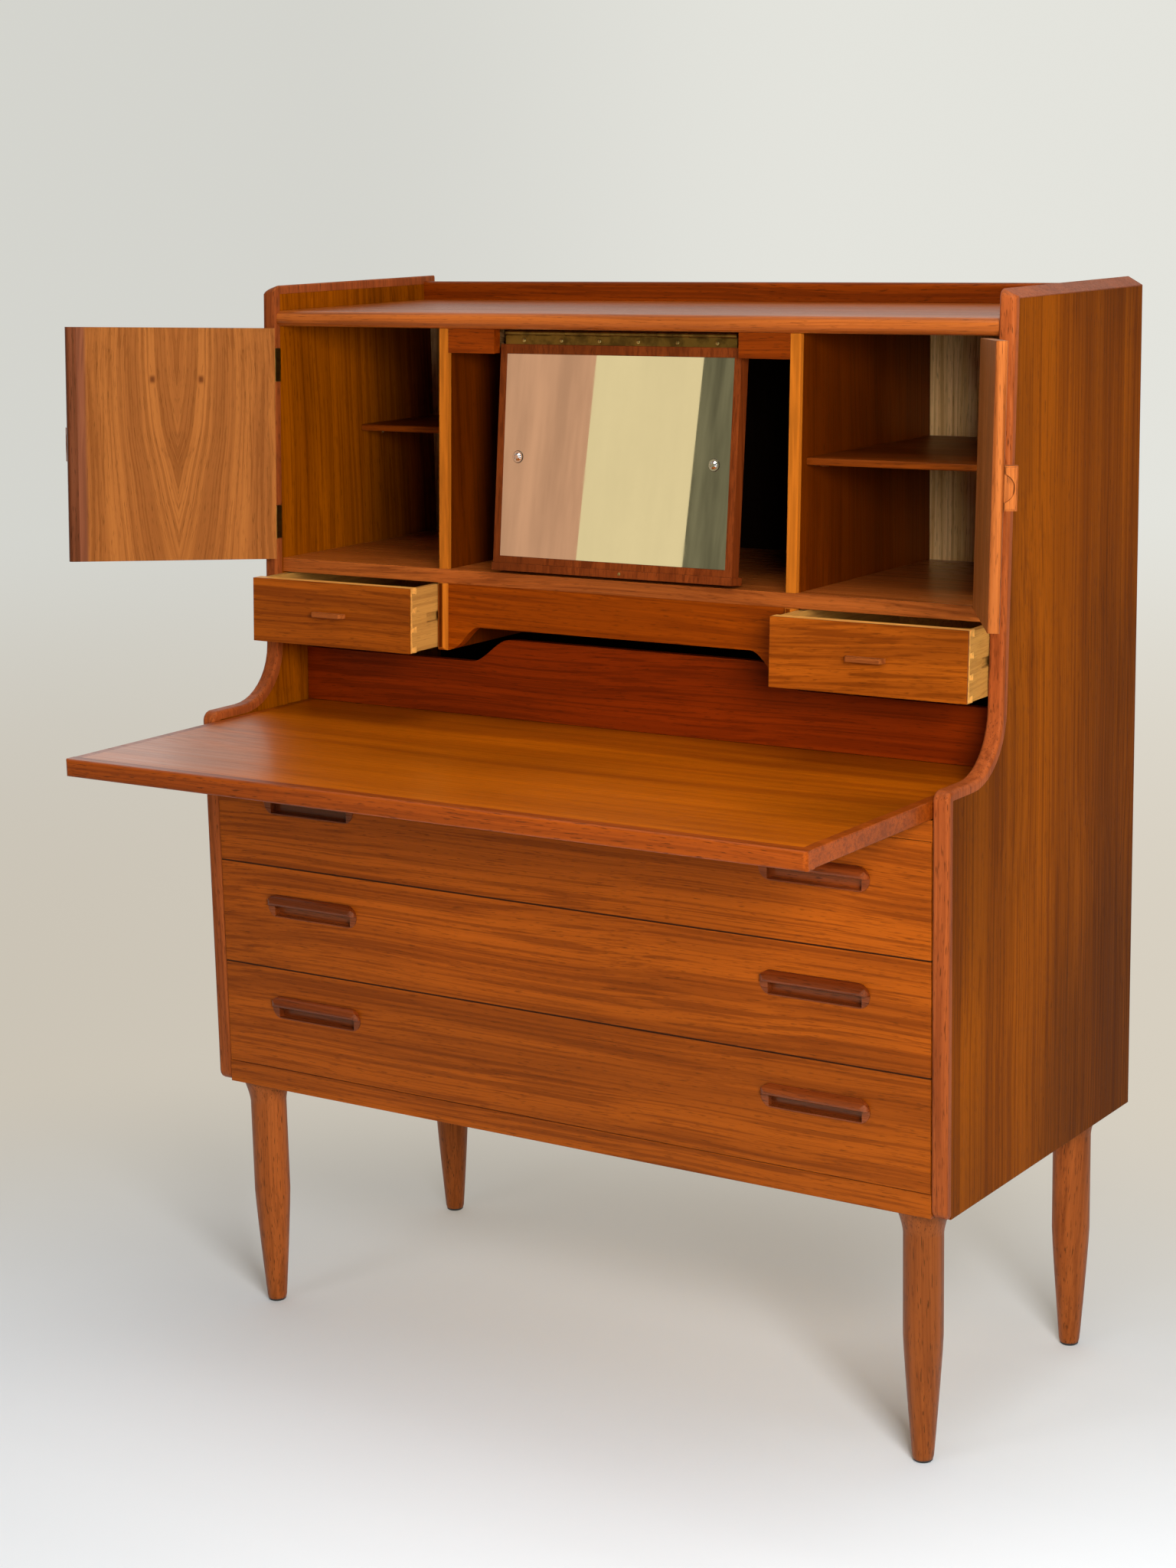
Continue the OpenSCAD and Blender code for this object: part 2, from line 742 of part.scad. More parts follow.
module small_front() {
  z1 = small_z + small_h;
  difference() {
    yz_plate(small_x0, small_x1, [
      [small_y(small_z, 0), small_z], [small_y(small_z, small_t), small_z],
      [small_y(z1, small_t), z1], [small_y(z1, 0), z1]]);
    tails(small_x0 - 1, small_x0 + small_side + 0.05, 0.05);
    tails(small_x1 - small_side - 0.05, small_x1 + 1, 0.05);
  }
}

module small_side_panel(x0, x1, face_x) {
  z0 = small_z + 1;
  z1 = small_z + small_h - 1.5;
  back = small_y(groove_z, 0) + small_depth;
  difference() {
    union() {
      yz_plate(x0, x1, [
        [small_y(z0, small_t + 0.05), z0], [back, z0],
        [back, z1], [small_y(z1, small_t + 0.05), z1]]);
      tails(x0, x1, 0);
    }
    block(face_x - 6, face_x + 6, small_y(groove_z, 34), back + 1, groove_z - groove_h / 2, groove_z + groove_h / 2);
  }
}

module small_box() {
  back = small_y(groove_z, 0) + small_depth;
  front = small_y(small_z + small_h, small_t) + 0.5;
  small_side_panel(small_x0, small_x0 + small_side, small_x0);
  small_side_panel(small_x1 - small_side, small_x1, small_x1);
  block(small_x0 + small_side, small_x1 - small_side, back - 9, back, small_z + 8, small_z + small_h - 4);
  block(small_x0 + small_side, small_x1 - small_side, front, back, small_z + 4, small_z + 8);
}

// A thin tab with clipped corners
module small_pull() {
  x = (small_x0 + small_x1) / 2;
  z = small_z + small_h / 2;
  y = small_y(z, 0);
  translate([x, y + 0.25, z]) rotate([-rake, 0, 0]) {
    translate([0, 0, -2.8]) linear_extrude(5.6) polygon([
      [-23, -0.26], [-22, -8], [-20, -10.5], [20, -10.5], [22, -8], [23, -0.26]]);
  }
}

module small_drawer_left_front() { color("#a5622c") place() mirror([1, 0, 0]) small_front(); }
module small_drawer_left_box() { color("#d9b070") place() mirror([1, 0, 0]) small_box(); }
module small_drawer_left_pull() { color("#8a441f") place() mirror([1, 0, 0]) small_pull(); }
module small_drawer_right_front() { color("#a5622c") place() small_front(); }
module small_drawer_right_box() { color("#d9b070") place() small_box(); }
module small_drawer_right_pull() { color("#8a441f") place() small_pull(); }

// ---- Wide drawers ----

wide_t = 18;
wide_x = inner_x - 0.8;
wide_side = 12;

// A round-ended outline in X-Z, centred on x and z
module pill(x, z, w, h, y0, y1) {
  r = h / 2;
  translate([x, y1, z]) rotate([90, 0, 0]) linear_extrude(y1 - y0) union() {
    square([w - h, h], center = true);
    for (s = [-1, 1]) translate([s * (w / 2 - r), 0]) circle(r = r);
  }
}

module wide_front(level) {
  z = wide_z + level * drawer_pitch;
  difference() {
    block(-wide_x, wide_x, rail_y, rail_y + wide_t, z, z + wide_h);
    for (x = [-recess_x, recess_x]) pill(x, z + recess_up, recess_w, recess_h, rail_y - 1, rail_y + 12);
  }
}

module wide_box(level) {
  z = wide_z + level * drawer_pitch;
  y0 = rail_y + wide_t;
  y1 = y0 + wide_d;
  x1 = wide_x - 0.4;
  both_sides() difference() {
    block(x1 - wide_side, x1, y0, y1, z + 8, z + 108);
    block(x1 - 6.4, x1 + 1, y0 + 8, y1 + 1, z + 60 - 8.2, z + 60 + 8.2);
  }
  block(-x1 + wide_side, x1 - wide_side, y1 - 12, y1, z + 19, z + 104);
  block(-x1 + wide_side, x1 - wide_side, y0, y1, z + 14, z + 19);
}

// One grip: a pill let into the front, hollowed below and behind a rounded bar
module grip(x, z) {
  bar_r = 9.4;
  half = recess_w / 2 - 0.05;
  proud = bar_r - 1.4;
  difference() {
    union() {
      pill(x, z, recess_w - 0.1, recess_h - 0.1, rail_y - 0.6, rail_y + 12);
      intersection() {
        pill(x, z, recess_w - 0.1, recess_h - 0.1, rail_y - proud - 1, rail_y + 5);
        yz_plate(x - half, x + half, concat(
          [[rail_y + 5, z + 1]],
          arc([rail_y - proud + 3.5, z + 4.5], 3.5, 270, 180, 3),
          arc([rail_y + 1.4, z + 4.5], bar_r, 180, 90, 6),
          [[rail_y + 5, z + 13.9]]));
        translate([x, 0, z]) linear_extrude(20) polygon(concat(
          [[-half, rail_y + 5]],
          arc([-half + bar_r, rail_y + 1.4], bar_r, 180, 270, 6),
          arc([half - bar_r, rail_y + 1.4], bar_r, 270, 360, 6),
          [[half, rail_y + 5]]));
      }
    }
    block(x - 57, x + 57, rail_y - 3, rail_y + 8.5, z - 12.4, z + 8);
    block(x - 57, x + 57, rail_y - 13, rail_y + 1, z - 12.4, z + 1);
  }
}

module wide_pulls(level) {
  z = wide_z + level * drawer_pitch + recess_up;
  grip(-recess_x, z);
  grip(recess_x, z);
}

module wide_drawer_top_front() { color("#a3541f") place() wide_front(2); }
module wide_drawer_top_box() { color("#d9b070") place() wide_box(2); }
module wide_drawer_top_pulls() { color("#87421f") place() wide_pulls(2); }
module wide_drawer_middle_front() { color("#a3541f") place() wide_front(1); }
module wide_drawer_middle_box() { color("#d9b070") place() wide_box(1); }
module wide_drawer_middle_pulls() { color("#87421f") place() wide_pulls(1); }
module wide_drawer_bottom_front() { color("#a3541f") place() wide_front(0); }
module wide_drawer_bottom_box() { color("#d9b070") place() wide_box(0); }
module wide_drawer_bottom_pulls() { color("#87421f") place() wide_pulls(0); }

side_left();
side_right();
side_lippings();
top_board();
gallery_rail();
back_panel();
deck();
partitions();
valances();
mirror_runners();
dividers();
apron();
drawer_runners();
front_rails();
leaf_bearers();
bottom_panel();
shelf_left();
shelf_right();
shelf_pins();
leg_front_left();
leg_front_right();
leg_back_left();
leg_back_right();
leg_bolts();
glides();
door_hinge_frame_leaves();
door_left_panel();
door_left_lipping();
door_left_pull();
door_left_hinge_leaves();
door_right_panel();
door_right_lipping();
door_right_pull();
door_right_hinge_leaves();
mirror_carriage();
mirror_hinge_carriage_leaf();
mirror_board();
mirror_glass();
mirror_hinge_leaf();
mirror_strip();
mirror_screws();
leaf_board();
leaf_lipping();
leaf_riser();
leaf_cleats();
small_drawer_left_front();
small_drawer_left_box();
small_drawer_left_pull();
small_drawer_right_front();
small_drawer_right_box();
small_drawer_right_pull();
wide_drawer_top_front();
wide_drawer_top_box();
wide_drawer_top_pulls();
wide_drawer_middle_front();
wide_drawer_middle_box();
wide_drawer_middle_pulls();
wide_drawer_bottom_front();
wide_drawer_bottom_box();
wide_drawer_bottom_pulls();
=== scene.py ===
"""The secretary desk's looks: wood, metal and mirror materials, small pieces, stage, light and camera."""

import json
import math

import bpy
from mathutils import Matrix, Vector


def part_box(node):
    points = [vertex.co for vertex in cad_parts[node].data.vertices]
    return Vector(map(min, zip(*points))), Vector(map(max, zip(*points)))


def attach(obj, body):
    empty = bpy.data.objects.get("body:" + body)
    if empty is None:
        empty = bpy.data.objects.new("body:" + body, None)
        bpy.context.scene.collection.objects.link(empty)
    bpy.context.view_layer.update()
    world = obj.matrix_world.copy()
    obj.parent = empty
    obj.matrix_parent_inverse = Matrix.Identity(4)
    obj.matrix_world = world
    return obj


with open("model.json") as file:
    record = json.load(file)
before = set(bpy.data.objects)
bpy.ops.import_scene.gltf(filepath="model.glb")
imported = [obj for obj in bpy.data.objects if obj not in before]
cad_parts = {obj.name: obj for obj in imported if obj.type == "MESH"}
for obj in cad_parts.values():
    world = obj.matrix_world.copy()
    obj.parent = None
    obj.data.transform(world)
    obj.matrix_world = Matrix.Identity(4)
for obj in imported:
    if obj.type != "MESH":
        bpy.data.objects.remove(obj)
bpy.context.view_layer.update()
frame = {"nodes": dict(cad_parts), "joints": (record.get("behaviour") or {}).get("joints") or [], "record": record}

MM = 0.001

# ---- Shared measures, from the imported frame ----

side_lo, side_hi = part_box("side_lippings")
CENTRE_X = (side_lo[0] + side_hi[0]) / 2
FRONT_Y = side_lo[1]


def case_point(x, y, z):
    """A point given in millimetres from the case's centre line, lower front and floor."""
    return Vector((CENTRE_X + x * MM, FRONT_Y + y * MM, z * MM))


# ---- Node helpers ----


class Graph:
    """A material's node tree with short ways to add and link nodes."""

    def __init__(self, name):
        self.material = bpy.data.materials.new(name)
        self.material.use_nodes = True
        self.tree = self.material.node_tree
        self.tree.nodes.clear()
        self.output = self.add("ShaderNodeOutputMaterial")
        self.shader = self.add("ShaderNodeBsdfPrincipled")
        self.link(self.shader.outputs["BSDF"], self.output.inputs["Surface"])

    def add(self, kind, **settings):
        node = self.tree.nodes.new(kind)
        for key, value in settings.items():
            setattr(node, key, value)
        return node

    def link(self, source, target):
        self.tree.links.new(source, target)

    def put(self, value, socket):
        """Links a socket, or sets a plain value."""
        if isinstance(value, bpy.types.NodeSocket):
            self.link(value, socket)
        else:
            socket.default_value = value

    def set(self, name, value):
        """Links or sets an input of the shader."""
        self.put(value, self.shader.inputs[name])

    def coords(self):
        return self.add("ShaderNodeTexCoord").outputs["Object"]

    def along(self, vector, origin, direction):
        """How far a point lies from origin along a direction."""
        offset = self.add("ShaderNodeVectorMath", operation="SUBTRACT")
        self.link(vector, offset.inputs[0])
        offset.inputs[1].default_value = tuple(origin)
        dot = self.add("ShaderNodeVectorMath", operation="DOT_PRODUCT")
        self.link(offset.outputs[0], dot.inputs[0])
        dot.inputs[1].default_value = tuple(direction)
        return dot.outputs["Value"]

    def joined(self, x, y, z):
        node = self.add("ShaderNodeCombineXYZ")
        for socket, value in zip(node.inputs, (x, y, z)):
            self.put(value, socket)
        return node.outputs[0]

    def mapped(self, vector, scale=(1, 1, 1), offset=(0, 0, 0), turn=(0, 0, 0)):
        node = self.add("ShaderNodeMapping")
        self.link(vector, node.inputs["Vector"])
        node.inputs["Scale"].default_value = scale
        node.inputs["Location"].default_value = offset
        node.inputs["Rotation"].default_value = turn
        return node.outputs["Vector"]

    def noise(self, vector, scale, detail=2.0, roughness=0.5, distortion=0.0):
        node = self.add("ShaderNodeTexNoise")
        self.link(vector, node.inputs["Vector"])
        node.inputs["Scale"].default_value = scale
        node.inputs["Detail"].default_value = detail
        node.inputs["Roughness"].default_value = roughness
        node.inputs["Distortion"].default_value = distortion
        return node.outputs["Fac"]

    def math(self, operation, a, b=0.0):
        node = self.add("ShaderNodeMath", operation=operation)
        self.put(a, node.inputs[0])
        self.put(b, node.inputs[1])
        return node.outputs[0]

    def span(self, value, low, high, out_low=0.0, out_high=1.0):
        """A smooth step from out_low at low to out_high at high."""
        node = self.add("ShaderNodeMapRange", interpolation_type="SMOOTHSTEP")
        self.put(value, node.inputs["Value"])
        node.inputs["From Min"].default_value = low
        node.inputs["From Max"].default_value = high
        node.inputs["To Min"].default_value = out_low
        node.inputs["To Max"].default_value = out_high
        return node.outputs["Result"]

    def mix(self, factor, a, b, blend="MIX"):
        node = self.add("ShaderNodeMix", data_type="RGBA", blend_type=blend)
        self.put(factor, node.inputs["Factor"])
        self.put(a, node.inputs["A"])
        self.put(b, node.inputs["B"])
        return node.outputs["Result"]

    def bump(self, height, strength, distance, normal=None):
        node = self.add("ShaderNodeBump")
        self.put(height, node.inputs["Height"])
        node.inputs["Strength"].default_value = strength
        node.inputs["Distance"].default_value = distance
        if normal is not None:
            self.link(normal, node.inputs["Normal"])
        return node.outputs["Normal"]


def srgb(r, g, b):
    """A linear colour from 8-bit values."""
    def channel(c):
        c /= 255
        return c / 12.92 if c <= 0.04045 else ((c + 0.055) / 1.055) ** 2.4

    return (channel(r), channel(g), channel(b), 1.0)


# Which axes lie across the grain when it runs along X, Y or Z
GRAIN = {"X": (0, 1, 1), "Y": (1, 0, 1), "Z": (1, 1, 0)}

# How often each mark of the wood repeats in a metre: (across the grain, along it)
SWAY, PATCHES = (3.0, 1.3), (4.0, 1.6)
BANDS, LINES = (30, 0.7), (230, 1.1)
FINE, THREADS = (620, 3.0), (900, 60.0)

SWAY_REACH = 0.05             # how far the grain wanders sideways, in metres
SEED_STEP = (1.7, 2.3, 3.1)   # how far each seed moves along the pattern
ARCH_HALF = 0.13              # half the width of a book-matched figure, in metres
ARCH_FOOT = 0.15              # how far below the panel it starts
ARCH_SHIFT = 0.075            # how far its lines have spread at the head
ARCH_WAVE = (9.0, 0.014)      # how often and how far they waver
WOOD_IOR = 1.45
FINISH_TINT = (1.0, 0.6, 0.25, 1)
SOFT_EDGE = 0.0009            # how far the light sees edges rounded, in metres
PORE_DEPTH = 0.0005           # in metres


def grained(grain, across, along):
    """Scales that stretch a texture along one axis."""
    return tuple(across if flag else along for flag in GRAIN[grain])


def wood(name, base, dark, light, grain="X", seed=0.0, roughness=0.42, figure=0.6, streak=0.5,
         pores=0.5, coat=0.0, axes=None, book=None, patch=0.3, gloss=0.35, zones=()):
    """Teak or another wood: bands, streaks and pores stretched along the grain.

    base, dark and light are linear colours. axes is (origin, across, up) for a turned board. book is
    the (place across, foot, head) of a book-matched seam, in metres. zones holds (tests, colour), and
    a test is (origin, direction, low, high): the colour comes in between those distances from a plane.
    """
    g = Graph(name)
    space = g.coords()
    if axes:
        origin, across, up = axes
        u = g.along(space, origin, across)
        w = g.along(space, origin, up)
        depth = g.along(space, origin, Vector(across).cross(Vector(up)))
        if book is not None:
            seam, foot, head = book
            side = g.math("ABSOLUTE", g.math("SUBTRACT", u, seam))
            near_seam = g.span(side, ARCH_HALF, 0.0)
            shift = g.math("MULTIPLY", g.span(w, foot - ARCH_FOOT, head), ARCH_SHIFT)
            rise = g.math("MULTIPLY", shift, near_seam)
            often, far = ARCH_WAVE
            drift = g.math("MULTIPLY", g.noise(g.joined(side, 0.0, w), often, 1.0), far)
            u = g.math("ADD", g.math("SUBTRACT", side, rise), drift)
        space = g.joined(u, depth, w)
    here = g.mapped(space, offset=tuple(seed * step for step in SEED_STEP))
    sway = g.noise(g.mapped(here, grained(grain, *SWAY)), 1.0, 2.0)
    bent = g.add("ShaderNodeVectorMath", operation="MULTIPLY_ADD")
    g.link(sway, bent.inputs[0])
    bent.inputs[1].default_value = tuple(SWAY_REACH * flag for flag in GRAIN[grain])
    g.link(here, bent.inputs[2])
    path = bent.outputs[0]
    bands = g.noise(g.mapped(path, grained(grain, *BANDS)), 1.0, 2.0, 0.5, 0.2)
    lines = g.noise(g.mapped(path, grained(grain, *LINES)), 1.0, 1.0, 0.5)
    fine = g.noise(g.mapped(path, grained(grain, *FINE)), 1.0, 1.0, 0.5)
    threads = g.noise(g.mapped(path, grained(grain, *THREADS)), 1.0, 1.0, 0.5)
    patches = g.noise(g.mapped(here, grained(grain, *PATCHES)), 1.0, 2.0, 0.5)
    # The noise lies round 0.5: each pair of bounds picks the part of it that shows
    tone = g.mix(g.span(bands, 0.34, 0.66), dark, light)
    colour = g.mix(figure, base, tone)
    marks = g.span(lines, 0.54, 0.62)
    colour = g.mix(g.math("MULTIPLY", marks, streak), colour, dark)
    pale = g.span(lines, 0.46, 0.34)
    colour = g.mix(g.math("MULTIPLY", pale, streak * 0.5), colour, light)
    colour = g.mix(g.math("MULTIPLY", g.span(fine, 0.52, 0.64), streak * 0.7), colour, dark)
    dashes = g.span(threads, 0.6, 0.72)
    pore_colour = tuple(c * 0.45 for c in dark[:3]) + (1,)
    colour = g.mix(g.math("MULTIPLY", dashes, pores), colour, pore_colour)
    shade = g.span(patches, 0.3, 0.7, 1.0 - patch * 0.5, 1.0 + patch * 0.5)
    colour = g.mix(1.0, colour, shade, "MULTIPLY")
    for tests, other in zones:
        mask = 1.0
        for origin, direction, low, high in tests:
            reach = g.math("ABSOLUTE", g.along(g.coords(), origin, direction))
            mask = g.math("MULTIPLY", g.span(reach, low, high), mask)
        tinted = g.mix(1.0, other, g.span(lines, 0.3, 0.7, 1.15, 0.8), "MULTIPLY")
        colour = g.mix(mask, colour, tinted)
    g.set("Base Color", colour)
    wear = g.math("ADD", g.math("MULTIPLY", fine, 0.6), g.math("MULTIPLY", patches, 0.4))
    g.set("Roughness", g.span(wear, 0.25, 0.75, roughness - 0.07, roughness + 0.09))
    g.set("IOR", WOOD_IOR)
    g.set("Specular IOR Level", gloss)
    g.set("Specular Tint", FINISH_TINT)
    g.set("Coat Weight", coat)
    g.set("Coat Roughness", roughness * 0.55)
    relief = g.math("SUBTRACT", g.math("MULTIPLY", fine, 0.4), g.math("MULTIPLY", dashes, 0.6))
    soft = g.add("ShaderNodeBevel", samples=3)
    soft.inputs["Radius"].default_value = SOFT_EDGE
    g.set("Normal", g.bump(relief, 0.2, PORE_DEPTH, soft.outputs["Normal"]))
    return g.material


def dark_of(colour, amount=0.45):
    """The dark lines of a wood: redder than its ground."""
    r, gr, b, _ = colour
    return (r * amount, gr * amount * 0.8, b * amount * 0.7, 1.0)


def light_of(colour, amount=1.45):
    """The pale bands of a wood: a little yellower than its ground."""
    r, gr, b, _ = colour
    return (min(r * amount, 1), min(gr * amount * 1.06, 1), min(b * amount, 1), 1.0)


AGED = 0.62  # how much the old finish darkens every teak colour


def teak(name, base, grain, seed, **more):
    """Aged teak; base is the colour of fresh teak."""
    base = tuple(c * AGED for c in base[:3]) + (1,)
    return wood(name, base, dark_of(base), light_of(base), grain, seed, **more)


def metal(name, base, roughness, stain=None, spots=0.0, scratch=0.12):
    """Worn metal, with a stain in spots and fine scratches."""
    g = Graph(name)
    here = g.coords()
    cloud = g.noise(here, 60, 4.0, 0.6)
    fine = g.noise(g.mapped(here, (4, 60, 60)), 30, 2.0, 0.6)
    colour = base
    if stain:
        colour = g.mix(g.math("MULTIPLY", g.span(cloud, 0.42, 0.68), spots), base, stain)
    g.set("Base Color", colour)
    g.set("Metallic", 1.0)
    wear = g.math("ADD", g.math("MULTIPLY", cloud, 0.6), g.math("MULTIPLY", fine, 0.4))
    g.set("Roughness", g.span(wear, 0.3, 0.7, max(roughness - 0.08, 0.03), roughness + 0.14))
    g.set("Normal", g.bump(fine, scratch, 0.0003))
    return g.material


# ---- Woods of the desk ----

SIDE = srgb(150, 74, 0)
SOLID = srgb(176, 86, 38)
DRAWER = srgb(182, 86, 14)
LEAF = srgb(184, 90, 0)
DOOR = srgb(200, 120, 56)
RED = srgb(138, 44, 2)
PALE = srgb(222, 158, 76)

# The doors stand turned on their hinges, so their grain is laid out in their own axes
hinges = {j["child"]: j for j in frame["joints"]}


def door_axes(side):
    """(origin, across, up) of a door as it stands at rest; across runs from hinge to free edge."""
    joint = hinges["door_" + side]
    up = Vector(joint["axis"]).normalized()
    opened = math.radians(max(abs(v) for v in joint["range_deg"]))
    sign = 1 if side == "left" else -1
    shut = Vector((sign, 0, 0))
    across = Matrix.Rotation(-sign * opened, 3, up) @ shut
    return Vector(joint["pos_m"]), across, up


def seam_of(side, axes):
    """(place across, foot, head) of the seam in the middle of a door's panel."""
    origin, across, up = axes
    points = [v.co - origin for v in frame["nodes"][f"door_{side}_panel"].data.vertices]
    reach = [point.dot(across) for point in points]
    rise = [point.dot(up) for point in points]
    return (min(reach) + max(reach)) / 2, min(rise), max(rise)


LEFT_DOOR, RIGHT_DOOR = door_axes("left"), door_axes("right")
deck_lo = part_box("deck")[0]
bay_lo, bay_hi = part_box("partitions")
rake_up = LEFT_DOOR[2]
into = Vector((0, rake_up.z, -rake_up.y))


def foremost(node):
    """A point on the plane that leans with the upper front and just touches a node's front."""
    return into * min(v.co.dot(into) for v in frame["nodes"][node].data.vertices)


# Where a zone's colour comes in: (none of it from here, all of it from here), in metres
ON_FACE = (0.0012, 0.001)
FRONT_BAND = (0.0062, 0.0058)
BEHIND_VENEER = (0.0028, 0.0030)
JOINT_LINE = (0.0014, 0.0006)
FREE_EDGE = (0.014, 0.008)
KNOT_ACROSS, KNOT_ALONG = (0.005, 0.001), (0.007, 0.001)
NEAR_BLACK_FADE = 0.001

veneer = foremost("small_drawer_left_front")
BLACK = (0.004, 0.002, 0.001, 1)
ACROSS, ALONG, UP = Vector((1, 0, 0)), Vector((0, 1, 0)), Vector((0, 0, 1))
# The back panel's inner face turns near black in the centre bay and below the deck
back_face = (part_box("back_panel")[0], ALONG, *ON_FACE)
bay_half = (bay_hi.x - bay_lo.x) / 2
in_bay = (Vector((CENTRE_X, 0, 0)), ACROSS, bay_half + NEAR_BLACK_FADE, bay_half)
below_deck = (Vector((0, 0, 0)), UP, deck_lo.z + NEAR_BLACK_FADE, deck_lo.z)
BAY_NEAR_BLACK = [([in_bay, back_face], BLACK), ([below_deck, back_face], BLACK)]
GOLD = srgb(172, 94, 22)
FRONT_EDGE = [([(foremost("partitions"), into, *FRONT_BAND)], GOLD)]
VENEER_BACK = [([(veneer, into, *BEHIND_VENEER)], PALE)]

# The joints between the wide drawers' fronts show as dark lines
fronts = [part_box(f"wide_drawer_{level}_front") for level in ("top", "middle", "bottom")]
DRAWER_LINES = [([(Vector((0, 0, (above[0].z + below[1].z) / 2)), UP, *JOINT_LINE)], srgb(46, 16, 4))
                for above, below in zip(fronts, fronts[1:])]

# The left door has a shaded free edge and, well up on its inner face, a pair of small knots
KNOT_ASIDE, KNOT_RISE = 0.029, 0.78
left_seam, right_seam = seam_of("left", LEFT_DOOR), seam_of("right", RIGHT_DOOR)
door_foot, door_across, door_up = LEFT_DOOR
free_edge = door_foot + door_across * left_seam[0] * 2
LEFT_DOOR_MARKS = [([(free_edge, door_across, *FREE_EDGE)], srgb(120, 68, 44))]
knot_height = left_seam[1] + (left_seam[2] - left_seam[1]) * KNOT_RISE
for knot_side in (-1, 1):
    knot = door_foot + door_across * (left_seam[0] + knot_side * KNOT_ASIDE) + door_up * knot_height
    LEFT_DOOR_MARKS.append(([(knot, door_across, *KNOT_ACROSS), (knot, door_up, *KNOT_ALONG)],
                            srgb(96, 48, 20)))

materials = {
    "teak_side": teak("teak_side", SIDE, "Z", 1.0, figure=0.35, streak=0.45, patch=0.6, gloss=0.03),
    "teak_solid": teak("teak_solid", SOLID, "Z", 2.0, figure=0.25, streak=0.4, pores=0.8),
    "teak_top": teak("teak_top", srgb(200, 104, 40), "X", 3.0, figure=0.3, roughness=0.3, coat=0.15),
    "teak_rail": teak("teak_rail", srgb(156, 62, 4), "X", 4.0, figure=0.5, pores=0.7, roughness=0.38),
    "back_ply": wood("back_ply", (0.95, 0.58, 0.23, 1), (0.50, 0.26, 0.08, 1), (1.0, 0.7, 0.34, 1), "Z", 5.0,
                     figure=0.5, streak=0.7, roughness=0.6, gloss=0.1, zones=BAY_NEAR_BLACK),
    "teak_inside": teak("teak_inside", srgb(112, 44, 0), "Z", 6.0, figure=0.35, streak=0.4, gloss=0.2,
                        zones=FRONT_EDGE),
    "teak_apron": teak("teak_apron", srgb(164, 70, 2), "X", 7.0, figure=0.3),
    "runner_wood": teak("runner_wood", srgb(140, 100, 58), "Y", 8.0, roughness=0.6),
    "teak_shelf": teak("teak_shelf", srgb(140, 62, 10), "X", 9.0),
    "teak_leg": teak("teak_leg", srgb(172, 88, 36), "Z", 10.0, figure=0.25, streak=0.4, pores=0.9,
                     roughness=0.4, gloss=0.5),
    "teak_door_left": teak("teak_door_left", DOOR, "Z", 11.0, figure=0.3, streak=0.42, roughness=0.5,
                           axes=LEFT_DOOR, book=left_seam, gloss=0.25, zones=LEFT_DOOR_MARKS),
    "teak_door": teak("teak_door", DOOR, "Z", 11.5, figure=0.35, streak=0.6, roughness=0.45,
                      axes=RIGHT_DOOR, book=right_seam),
    "teak_lip_left": teak("teak_lip_left", srgb(126, 66, 40), "Z", 12.0, figure=0.2, pores=0.7,
                          axes=LEFT_DOOR),
    "teak_door_lip": teak("teak_door_lip", srgb(190, 102, 44), "Z", 12.5, figure=0.2, pores=0.7,
                          axes=RIGHT_DOOR),
    "mirror_frame": teak("mirror_frame", srgb(132, 58, 20), "Z", 13.0, figure=0.3, roughness=0.36),
    "teak_leaf": teak("teak_leaf", LEAF, "X", 14.0, figure=0.4, streak=0.25, pores=0.4, patch=0.7,
                      roughness=0.34, coat=0.2, gloss=0.5),
    "teak_leaf_lip": teak("teak_leaf_lip", srgb(168, 74, 14), "X", 15.0, figure=0.25, pores=0.8,
                          roughness=0.36, coat=0.15),
    "teak_riser": teak("teak_riser", RED, "X", 16.0, figure=0.35, streak=0.5, roughness=0.38),
    "teak_small_front": teak("teak_small_front", srgb(184, 90, 16), "X", 17.0, figure=0.3, streak=0.6,
                             zones=VENEER_BACK),
    "drawer_pale": teak("drawer_pale", PALE, "Y", 18.0, figure=0.2, streak=0.3,
                        pores=0.3, roughness=0.5, patch=0.2),
    "teak_tab": teak("teak_tab", srgb(190, 102, 44), "X", 19.0, pores=0.6),
    "teak_wide_front": teak("teak_wide_front", DRAWER, "X", 20.0, figure=0.35, streak=0.55,
                            zones=DRAWER_LINES),
    "teak_grip": teak("teak_grip", srgb(146, 64, 22), "X", 21.0, pores=0.8, roughness=0.3,
                      coat=0.3, gloss=0.5),
    "pin_steel": metal("pin_steel", (0.72, 0.72, 0.72, 1), 0.25),
    "brass_hinge": metal("brass_hinge", srgb(150, 124, 60), 0.42, srgb(92, 74, 36), 0.7),
    "rim_dark": metal("rim_dark", srgb(92, 84, 70), 0.35),
    "screw_brass": metal("screw_brass", srgb(196, 172, 104), 0.3, srgb(120, 98, 50), 0.5),
    "cap_chrome": metal("cap_chrome", (0.82, 0.82, 0.82, 1), 0.1, scratch=0.03),
}

glide = Graph("glide_black")
glide_cloud = glide.noise(glide.coords(), 200, 3.0)
glide.set("Base Color", glide.mix(glide_cloud, (0.012, 0.011, 0.01, 1), (0.03, 0.028, 0.026, 1)))
glide.set("Roughness", 0.5)
materials["glide_black"] = glide.material

silver = Graph("mirror_silver")
silver_haze = silver.noise(silver.coords(), 22, 3.0, 0.6)
silver.set("Base Color", silver.mix(silver_haze, (0.86, 0.86, 0.80, 1), (0.92, 0.92, 0.86, 1)))
silver.set("Metallic", 1.0)
silver.set("Roughness", silver.span(silver_haze, 0.4, 0.75, 0.012, 0.03))
materials["mirror_silver"] = silver.material

